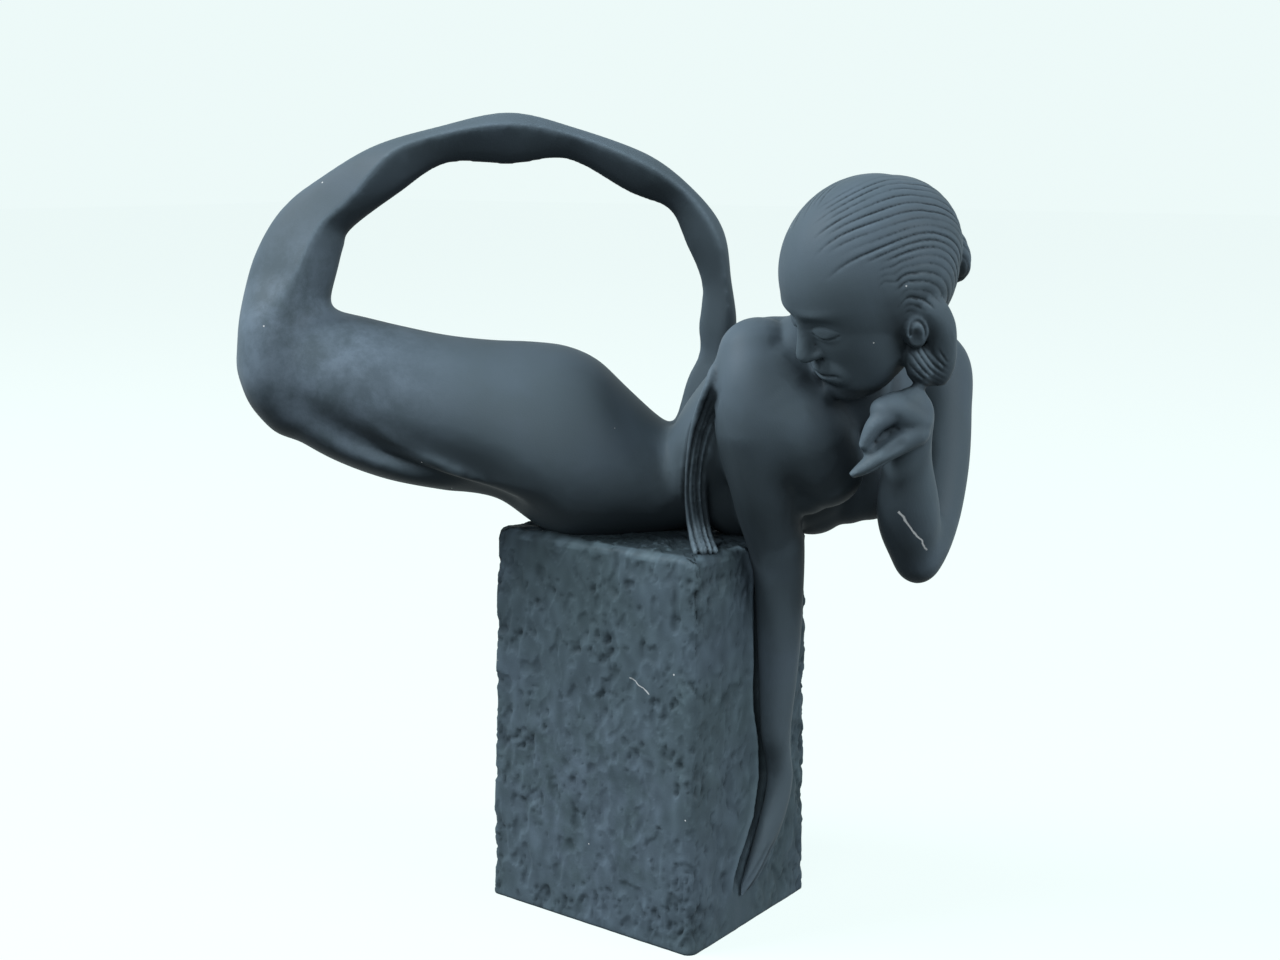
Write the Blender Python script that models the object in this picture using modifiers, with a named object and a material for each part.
"""Scorpion zodiac figurine: a woman lying over a rough-hewn stone plinth, her legs turning into a jointed tail.

The real one is a single casting in matt black porcelain, so it is one solid. Metres, +Z up. The origin is the
centre of the plinth's base; the plinth is long in X, and its +X end face carries the hanging arm.
"""

from math import cos, pi, radians, sin

import bmesh
import bpy
from mathutils import Matrix, Vector, noise

MM = 0.001

# Plinth
PLINTH_LENGTH = 65.6 * MM
PLINTH_WIDTH = 53.8 * MM
PLINTH_HEIGHT = 100.0 * MM
PLINTH_TAPER = 2.2 * MM  # how far each side, apart from the arm's, leans in from base to top
PLINTH_EDGE = 2.0 * MM
HEWN_DEPTH = 0.8 * MM
HEWN_PITCH = 9.0 * MM

# Figure as a whole
FIGURE_SPAN = 185.0 * MM  # from the knees to the raised arm
FIGURE_TURN = radians(36.87)  # the body lies across the plinth's diagonal
UNIT = FIGURE_SPAN / 185  # what one unit of the figure's tables below measures
FACE_AHEAD = 32.8 * UNIT  # the plinth's end face, from the figure's own origin, so that the arm hangs on it

# Head
HEAD_HEIGHT = 48.0 * MM  # from chin to crown
HAIR_LENGTH = 43.5 * MM  # brow to the back, under the bun
HAIR_BREADTH = 37.5 * MM
HAIR_HEIGHT = 42.0 * MM
BUN_DIAMETER = 17.0 * MM
HEAD_UNIT = HEAD_HEIGHT / 48  # what one unit of the face's table measures

# Drapery
PLEATS = 3
PLEAT_PITCH = 1.9 * MM

# Surface
VOXEL = 1.1 * MM
FACES_KEPT = 0.066  # share of the carved surface's faces that the solid keeps

# Figure stations in its own frame: along the body towards the head, aside (away from the side that faces front),
# above the plinth's top, then half width, half thickness and the turn of the section's width about Z in degrees,
# where 90 lies square across the body. The trunk's last number is how far its sections lean from upright to
# square with its run.
TRUNK = (
    (-99, 0, 43, 7, 9, 90, 0),
    (-94, 0, 43, 12, 14, 90, 0),
    (-86, 0, 41, 15.5, 16.3, 90, 0),
    (-76, 0, 38.6, 17.5, 17, 90, 0),
    (-65, 0, 34.8, 18.5, 18, 90, 0),
    (-52, 0, 31.5, 20, 18.6, 90, 0),
    (-40, 0, 28.6, 21.5, 20.2, 90, 0),
    (-30, 0, 25, 23, 23.4, 90, 0),
    (-21, 0, 22.2, 23.5, 25, 90, 0),
    (-13, 0, 20.3, 22.5, 23.2, 90, 0),
    (-5, 0, 17, 20, 19, 90, 0),
    (3, 0, 13.6, 17.5, 14.8, 90, 0.1),
    (9, -1, 13.2, 16.5, 12.6, 85, 0.4),
    (15, -4, 17.6, 17, 13, 72, 0.8),
    (22, -8, 26.5, 19, 14, 58, 1),
    (30, -12, 34.5, 21, 15, 46, 1),
    (38, -16, 41, 22, 14, 38, 1),
    (45, -18, 46.5, 19, 12, 35, 1),
    (50, -19, 50.5, 10, 8, 35, 1),
)
# The lower thigh, a fuller roll under the trunk from knee to hip
LOWER_THIGH = (
    (-92, 0, 35, 10, 7, 90),
    (-85, 0, 31, 13, 8, 90),
    (-76, 0, 26, 15.5, 8.3, 90),
    (-65, 0, 21, 16.5, 8.8, 90),
    (-52, 0, 16.5, 17, 8.4, 90),
    (-40, 0, 13.2, 16.5, 8, 90),
    (-28, 0, 10, 15, 8.5, 90),
    (-18, 0, 9, 12, 8, 90),
)
# Tail: along, above the plinth's top, half thickness, half width; the first rows are the shins, then each pair
# is a swelling and the neck after it
TAIL = (
    (-91, 31, 8, 11),
    (-93.6, 38, 10.3, 13),
    (-93.8, 47, 11, 13.5),
    (-92.4, 58.2, 11, 13),
    (-89.3, 68.2, 10.5, 11.5),
    (-85.4, 76.4, 9.2, 9.5),
    (-80.2, 82.4, 7.5, 7.8),
    (-66.6, 91.3, 6.7, 6.8),
    (-52, 97.6, 4.7, 5),
    (-35, 99.3, 6.4, 6.3),
    (-19.5, 98, 4.1, 4.4),
    (-3, 90.8, 5.3, 5.5),
    (7.6, 84.6, 4, 4.2),
    (13.9, 75, 5.1, 5.1),
    (17, 63.6, 3.9, 4),
    (17.4, 52.5, 4.9, 4.8),
    (16.2, 44.3, 3.8, 3.9),
    (12.8, 35.5, 4.6, 4.4),
    (9, 27.5, 3.4, 3.4),
    (7, 20, 2.6, 2.6),
)
# Hanging arm from the shoulder to below the elbow, in the figure's frame as the trunk is
HANGING_ARM = (
    (26.5, -26, 47, 11.5, 10, 60),
    (26.8, -29, 40, 12.3, 11.2, 60),
    (26.3, -29.5, 30, 10.8, 10.6, 60),
    (27.4, -27.6, 19, 9.2, 9, 60),
    (29.2, -24.4, 9, 8.2, 8, 60),
    (30.6, -22.2, 2, 7.4, 7.2, 60),
)
# The rest of it lies on the end face: out from the face, across it, hundredths of the plinth's height below its
# top, then half width and half thickness
ARM_ON_FACE = (
    (5.4, 1.0, -1, 7.4, 7.2),
    (5.2, 2.4, 5, 6.9, 6.7),
    (4.8, 3.8, 14, 6.3, 6.1),
    (4.2, 4.9, 25, 5.8, 5.6),
    (3.8, 5.4, 34, 5.2, 5),
    (3.5, 5.4, 43, 4.5, 4.4),
    (3.2, 5.7, 50, 4.0, 3.9),
    (3.0, 6.6, 57, 3.7, 3.4),
    (3.0, 7.0, 63, 4.0, 3.3),
    (2.7, 5.0, 70, 4.4, 3.0),
    (2.3, 2.0, 76, 4.4, 2.7),
    (1.8, -1.4, 82, 3.7, 2.3),
    (1.2, -4.6, 88, 2.3, 1.8),
    (0.8, -6.4, 91.5, 1.0, 1.2),
)
# Raised arm
RAISED_UPPER_ARM = (
    (66, 0, 43, 9.5, 9.5, 60),
    (71, -1, 41, 11, 11, 60),
    (72, -7, 31, 9.6, 9.4, 60),
    (71.5, -14, 20, 8.6, 8.4, 60),
    (69.2, -21, 9, 7.8, 7.8, 60),
    (66, -27.5, 0, 6.8, 7.2, 60),
    (64, -30, -3.5, 4.4, 5, 60),
)
RAISED_FOREARM = (
    (64.2, -30, -1.5, 5.6, 5.4, 20),
    (62.8, -32, 6, 7.6, 7.2, 20),
    (61.3, -36, 15, 7.4, 6.8, 20),
    (60.6, -40, 24, 5.8, 5.4, 20),
    (60.7, -43.5, 31, 4.9, 4.4, 20),
    (60.8, -46, 36.5, 4.8, 4, 20),
    (59.5, -47, 39.5, 4.2, 3.4, 20),
)
# Hand under the jaw: its back, the thumb and first finger, then the other fingers lying together
HAND = (
    ((61.2, -46, 35.5, 4.6, 4, 80), (57, -47, 38, 5, 4, 80), (53.5, -47.5, 37.5, 4, 3.2, 80)),
    ((56, -48, 37.5, 3.4, 2.8, 80), (51.5, -49, 34.5, 2.9, 2.2, 80), (48.9, -49.4, 29.8, 1.6, 1.4, 80)),
    (
        (61, -47, 32.5, 3.8, 3.4, 80),
        (55, -48, 28.5, 4, 2.5, 80),
        (50, -48.6, 25, 3, 1.9, 80),
        (46.6, -48.8, 22.8, 1.3, 1, 80),
    ),
)
NECK = (
    (50, -14, 44, 11, 10, 40),
    (51, -21, 51, 9.4, 8.6, 40),
    (52.5, -29, 58, 9, 8.4, 40),
    (53, -37, 64, 9, 8.5, 40),
)
PECTORAL = (
    (29, -26, 43, 12, 10, 45),
    (36, -27, 36, 13, 11, 45),
    (42, -27.5, 27, 12, 11, 45),
    (45, -26, 20, 9, 8.5, 45),
)
# Round masses: centre, then half sizes along, aside and up
MASSES = (
    ((30, -22, 44), (14, 10, 13)),  # near shoulder blade
    ((42.5, -23, 22.5), (10, 9.5, 10.5)),  # near breast
    ((55, -12, 16), (10, 9.5, 11.5)),  # far breast
    ((38, -12, 18), (16, 14, 16)),  # ribs
    ((24, -7, 12), (14, 14, 13)),  # belly on the stone
    ((54, -16, 35), (12, 11, 14)),  # breastbone
    ((57, -45.5, 33), (4.5, 3, 4.5)),  # palm of the raised hand
)
# Sash over the waist and out over the plinth's top: along, aside and above
SASH = (
    (24, -1, 48),
    (18.5, -5, 41),
    (13.6, -4, 32),
    (11.6, -9, 26.6),
    (11, -13.8, 21.5),
    (11.4, -17, 13),
    (11.6, -13.5, 5),
    (12.2, -16.5, 1.6),
    (13, -25, 1),
    (13.4, -32, 0.2),
)

# Head frame in the figure's frame: where its middle is, which way the face and the crown point
HEAD_CENTRE = (50.2, -41, 70)
FACE_WAY = Vector((-0.80, -0.33, -0.50)).normalized()
CROWN_WAY = Vector((-0.376, -0.37, 0.846))
# The face's sections from brow to chin: forward of the head's middle, height, half breadth, half depth
FACE = (
    (2, 12, 10, 9),
    (4.5, 6, 14.6, 14.4),
    (6, 0, 16, 15.4),
    (6.5, -6, 15.8, 14.4),
    (7, -12, 14.6, 13.6),
    (7.8, -17, 12.4, 12.8),
    (9, -22, 9.4, 11),
    (11.5, -25.5, 5.8, 7.8),
)
# Round forms on the head: forward, to its left, up, then their half sizes the same three ways
HEAD_FORMS = (
    ((21.2, 0, -5), (2.2, 2.2, 6)),  # bridge of the nose
    ((23, 0, -9.6), (2.6, 2.9, 2.4)),  # tip of the nose
    ((19.6, 0, -15.4), (2.2, 5.2, 1.3)),  # upper lip
    ((19.3, 0, -17.8), (2.2, 4.4, 1.4)),  # lower lip
    ((18.0, 0, -23.4), (2.6, 4.2, 2.6)),  # chin
    ((18.2, 6.6, 0.6), (2.2, 5.4, 1.5)),  # left brow
    ((18.2, -6.6, 0.6), (2.2, 5.4, 1.5)),  # right brow
    ((3.4, 16.4, -10.6), (2.8, 2.6, 5)),  # left ear
    ((3.4, -16.4, -10.6), (2.8, 2.6, 5)),  # right ear
    ((-3, 15, -14), (4.6, 3.6, 10)),  # lock behind the left ear
    ((-3, -15, -14), (4.6, 3.6, 10)),  # lock behind the right ear
)


def figure_point(along, aside, above):
    """A point of the figure's frame as one of the part's frame, in metres."""
    turned = Matrix.Rotation(FIGURE_TURN, 3, "Z") @ Vector((along, aside, above)) * UNIT
    return turned + Vector((PLINTH_LENGTH / 2 - FACE_AHEAD, 0, PLINTH_HEIGHT))


def figure_way(way):
    """A direction of the figure's frame as one of the part's frame."""
    return Matrix.Rotation(FIGURE_TURN, 3, "Z") @ Vector(way)


def between(rows, steps):
    """The rows with more put between them, each number following a smooth curve through its column."""
    last = len(rows) - 1
    dense = []
    for i in range(last):
        four = [rows[max(0, min(last, i + k))] for k in (-1, 0, 1, 2)]
        for step in range(steps):
            dense.append([smooth_between(*numbers, step / steps) for numbers in zip(*four)])
    dense.append(list(rows[-1]))
    return dense


def smooth_between(before, here, there, after, t):
    """The value a share t of the way from here to there, on a cubic that suits the values before and after."""
    slope = (there - before) / 2
    bend = before - 2.5 * here + 2 * there - after / 2
    twist = 1.5 * (here - there) + (after - before) / 2
    return here + slope * t + bend * t ** 2 + twist * t ** 3


def loft(name, rings, sides=28):
    """A closed skin over rings: centre, half width, half thickness up and down, and how keen its two edges are."""
    mesh = bmesh.new()
    loops = []
    for centre, wide, up, down, keen in rings:
        loop = []
        for k in range(sides):
            angle = 2 * pi * k / sides
            lift = abs(sin(angle))
            lift = lift * (1 - keen) + lift * lift * keen
            side = up if sin(angle) >= 0 else down
            loop.append(mesh.verts.new(centre + wide * cos(angle) + side * lift))
        loops.append(loop)
    for first, second in zip(loops, loops[1:]):
        for k in range(sides):
            mesh.faces.new((first[k], first[(k + 1) % sides], second[(k + 1) % sides], second[k]))
    mesh.faces.new(loops[0])
    mesh.faces.new(loops[-1])
    bmesh.ops.recalc_face_normals(mesh, faces=mesh.faces)
    data = bpy.data.meshes.new(name)
    mesh.to_mesh(data)
    mesh.free()
    return add_object(name, data)


def rounded_ends(rings):
    """The rings with each end closed by a low dome."""
    out = []
    for end, inner in ((rings[0], rings[1]), (rings[-1], rings[-2])):
        centre, wide, up, down, keen = end
        outwards = (centre - inner[0]).normalized()
        reach = min(wide.length, up.length)
        dome = [
            (centre + outwards * reach * sin(a), wide * cos(a), up * cos(a), down * cos(a), keen)
            for a in (radians(x) for x in (25, 50, 72, 86))
        ]
        out.append(dome)
    return out[0][::-1] + rings + out[1]


def tangents(points):
    """The way the run goes at each of its points."""
    last = len(points) - 1
    return [(points[min(i + 1, last)] - points[max(i - 1, 0)]).normalized() for i in range(last + 1)]


def limb(name, rows, steps=5):
    """A limb through stations in the figure's frame, its sections square to its run unless a row says otherwise."""
    dense = between(rows, steps)
    centres = [figure_point(*row[:3]) for row in dense]
    rings = []
    for row, centre, way in zip(dense, centres, tangents(centres)):
        turn = radians(row[5])
        wide = figure_way((cos(turn), sin(turn), 0))
        lean = row[6] if len(row) > 6 else 1.0
        level = wide.cross(Vector((0, 0, 1)))
        way = way.lerp(level if level.dot(way) > 0 else -level, 1 - lean)
        wide = (wide - way * wide.dot(way) / way.length_squared).normalized()
        up = way.cross(wide).normalized() * row[4] * UNIT
        rings.append((centre, wide * row[3] * UNIT, up, -up, 0.0))
    return loft(name, rounded_ends(rings))


def tail(name):
    """The tail in the figure's upright middle plane, with a keen edge along each side."""
    dense = between(TAIL, 6)
    centres = [figure_point(row[0], 0, row[1]) for row in dense]
    wide = figure_way((0, 1, 0))
    rings = []
    for row, centre, way in zip(dense, centres, tangents(centres)):
        outer = wide.cross(way).normalized() * row[2] * UNIT
        keen = min(1.0, max(0.0, (row[1] - 55) / 25))
        keen = keen if row[0] < 0 else 1.0
        shift = outer * 0.35 * keen
        rings.append((centre + shift, wide * row[3] * UNIT, -outer - shift, outer - shift, 0.8 * keen))
    return loft(name, rounded_ends(rings))


def arm_on_face(name):
    """The forearm and hand that lie on the plinth's end face."""
    rows = between(ARM_ON_FACE, 5)
    centres = [
        Vector((PLINTH_LENGTH / 2 + out * UNIT, across * UNIT, PLINTH_HEIGHT * (1 - below / 100)))
        for out, across, below, _, _ in rows
    ]
    rings = []
    for row, centre, way in zip(rows, centres, tangents(centres)):
        wide = Vector((0, 1, 0))
        wide = (wide - way * wide.dot(way)).normalized() * row[3] * UNIT
        up = way.cross(wide).normalized() * row[4] * UNIT
        rings.append((centre, wide, up, -up, 0.0))
    return loft(name, rounded_ends(rings))


def pleat(name, place):
    """One fold of the sash, its place counted from the middle one."""
    rows = between(SASH, 5)
    beside = figure_way((1, 0.25, 0)).normalized()
    centres = [figure_point(*row) + beside * place * PLEAT_PITCH for row in rows]
    rings = []
    for centre, way in zip(centres, tangents(centres)):
        across = (beside - way * beside.dot(way)).normalized()
        up = way.cross(across).normalized() * PLEAT_PITCH * 0.8
        rings.append((centre, across * PLEAT_PITCH * 0.6, up, -up, 0.0))
    return loft(name, rounded_ends(rings), sides=16)


def ellipsoid(name, centre, ways, halves):
    """A ball stretched along three square ways."""
    mesh = bmesh.new()
    bmesh.ops.create_uvsphere(mesh, u_segments=32, v_segments=20, radius=1.0)
    columns = [Vector(way) * half for way, half in zip(ways, halves)]
    placed = Matrix([[column[i] for column in columns] for i in range(3)])
    for vert in mesh.verts:
        vert.co = placed @ vert.co + centre
    bmesh.ops.recalc_face_normals(mesh, faces=mesh.faces)
    data = bpy.data.meshes.new(name)
    mesh.to_mesh(data)
    mesh.free()
    return add_object(name, data)


def head():
    """Hair, face and bun in the head's own frame of face, left ear and crown."""
    face = figure_way(FACE_WAY)
    crown = figure_way(CROWN_WAY)
    crown = (crown - face * crown.dot(face)).normalized()
    ear = crown.cross(face)
    ways = (face, ear, crown)
    centre = figure_point(*HEAD_CENTRE)
    hair = ellipsoid("hair", centre, ways, (HAIR_LENGTH / 2, HAIR_BREADTH / 2, HAIR_HEIGHT / 2))
    rings = []
    for forward, height, breadth, depth in between(FACE, 4):
        place = centre + (face * forward + crown * height) * HEAD_UNIT
        rings.append((place, ear * breadth * HEAD_UNIT, face * depth * HEAD_UNIT, -face * depth * HEAD_UNIT, 0.0))
    pieces = [hair, loft("face", rounded_ends(rings))]
    for place, halves in HEAD_FORMS:
        spot = centre + sum((way * p * HEAD_UNIT for way, p in zip(ways, place)), Vector())
        pieces.append(ellipsoid("head_form", spot, ways, [half * HEAD_UNIT for half in halves]))
    bun_way = (-face * 0.9 - crown * 0.32).normalized()
    bun = centre + bun_way * HAIR_LENGTH / 2
    half = BUN_DIAMETER / 2
    pieces.append(ellipsoid("bun", bun, ways, (half * 0.6, half, half)))
    return pieces


def plinth():
    """The stone block, tapering a little, its sides left uneven by the mason's point."""
    mesh = bmesh.new()
    below = 4 * MM  # it starts under the floor, where the base is cut flat
    bmesh.ops.create_cube(mesh, size=1.0)
    size = Vector((PLINTH_LENGTH, PLINTH_WIDTH, PLINTH_HEIGHT + below))
    for vert in mesh.verts:
        vert.co = Vector(a * b for a, b in zip(vert.co, size))
        vert.co.z += (PLINTH_HEIGHT - below) / 2
        if vert.co.z > 0:
            vert.co.y -= PLINTH_TAPER * (1 if vert.co.y > 0 else -1)
            vert.co.x += PLINTH_TAPER * (1 if vert.co.x < 0 else 0)
    bmesh.ops.bevel(
        mesh, geom=mesh.edges[:], offset=PLINTH_EDGE, segments=2, profile=0.5, affect="EDGES", clamp_overlap=True
    )
    bmesh.ops.subdivide_edges(
        mesh, edges=[e for e in mesh.edges if e.calc_length() > 10 * MM], cuts=18, use_grid_fill=True
    )
    mesh.normal_update()
    shifts = []
    for vert in mesh.verts:
        place = vert.co / HEWN_PITCH
        rough = noise.noise(place) + 0.5 * noise.noise(place * 2.3)
        shifts.append(vert.normal * rough * HEWN_DEPTH)
    for vert, shift in zip(mesh.verts, shifts):
        vert.co += shift
    data = bpy.data.meshes.new("plinth")
    mesh.to_mesh(data)
    mesh.free()
    return add_object("plinth", data)


def add_object(name, data):
    thing = bpy.data.objects.new(name, data)
    part_collection.objects.link(thing)
    return thing


def base_cutter():
    """A slab whose top is the table, so that the base comes out flat."""
    reach = 4 * PLINTH_LENGTH
    mesh = bmesh.new()
    bmesh.ops.create_cube(mesh, size=reach)
    for vert in mesh.verts:
        vert.co.z -= reach / 2
    data = bpy.data.meshes.new("base_cutter")
    mesh.to_mesh(data)
    mesh.free()
    cutter = bpy.data.objects.new("base_cutter", data)
    cutter_collection.objects.link(cutter)
    cutter.hide_render = True
    cutter.display_type = "WIRE"
    return cutter


def porcelain():
    material = bpy.data.materials.new("black_porcelain")
    material.use_nodes = True
    shader = material.node_tree.nodes["Principled BSDF"]
    shader.inputs["Base Color"].default_value = (0.018, 0.021, 0.026, 1.0)
    shader.inputs["Roughness"].default_value = 0.55
    shader.inputs["Metallic"].default_value = 0.0
    return material


def fuse(pieces, name):
    """All the forms as one cast body: joined, skinned over, softened, thinned and cut flat under the base."""
    joined = bmesh.new()
    for piece in pieces:
        joined.from_mesh(piece.data)
        bpy.data.objects.remove(piece)
    data = bpy.data.meshes.new(name)
    joined.to_mesh(data)
    joined.free()
    body = add_object(name, data)
    skin = body.modifiers.new("one_skin", "REMESH")
    skin.mode = "VOXEL"
    skin.voxel_size = VOXEL
    soft = body.modifiers.new("soft", "SMOOTH")
    soft.factor = 0.5
    soft.iterations = 4
    thin = body.modifiers.new("thin_out", "DECIMATE")
    thin.ratio = FACES_KEPT
    flat = body.modifiers.new("flat_base", "BOOLEAN")
    flat.operation = "DIFFERENCE"
    flat.object = base_cutter()
    return body


for old in list(bpy.data.objects):
    bpy.data.objects.remove(old)
part_collection = bpy.data.collections.new("zodiac_figurine")
cutter_collection = bpy.data.collections.new("cutters")
for group in (part_collection, cutter_collection):
    bpy.context.scene.collection.children.link(group)

forms = [
    plinth(),
    limb("trunk", TRUNK),
    limb("lower_thigh", LOWER_THIGH),
    tail("tail"),
    limb("hanging_upper_arm", HANGING_ARM),
    arm_on_face("hanging_forearm"),
    limb("raised_upper_arm", RAISED_UPPER_ARM),
    limb("raised_forearm", RAISED_FOREARM),
    limb("neck", NECK),
    limb("pectoral", PECTORAL),
]
forms += [pleat("pleat", k - (PLEATS - 1) / 2) for k in range(PLEATS)]
forms += [limb("hand", rows) for rows in HAND]
square = [figure_way(way) for way in ((1, 0, 0), (0, 1, 0), (0, 0, 1))]
for place, halves in MASSES:
    forms.append(ellipsoid("mass", figure_point(*place), square, [half * UNIT for half in halves]))
forms += head()

figurine = fuse(forms, "figurine")
figurine.data.materials.append(porcelain())
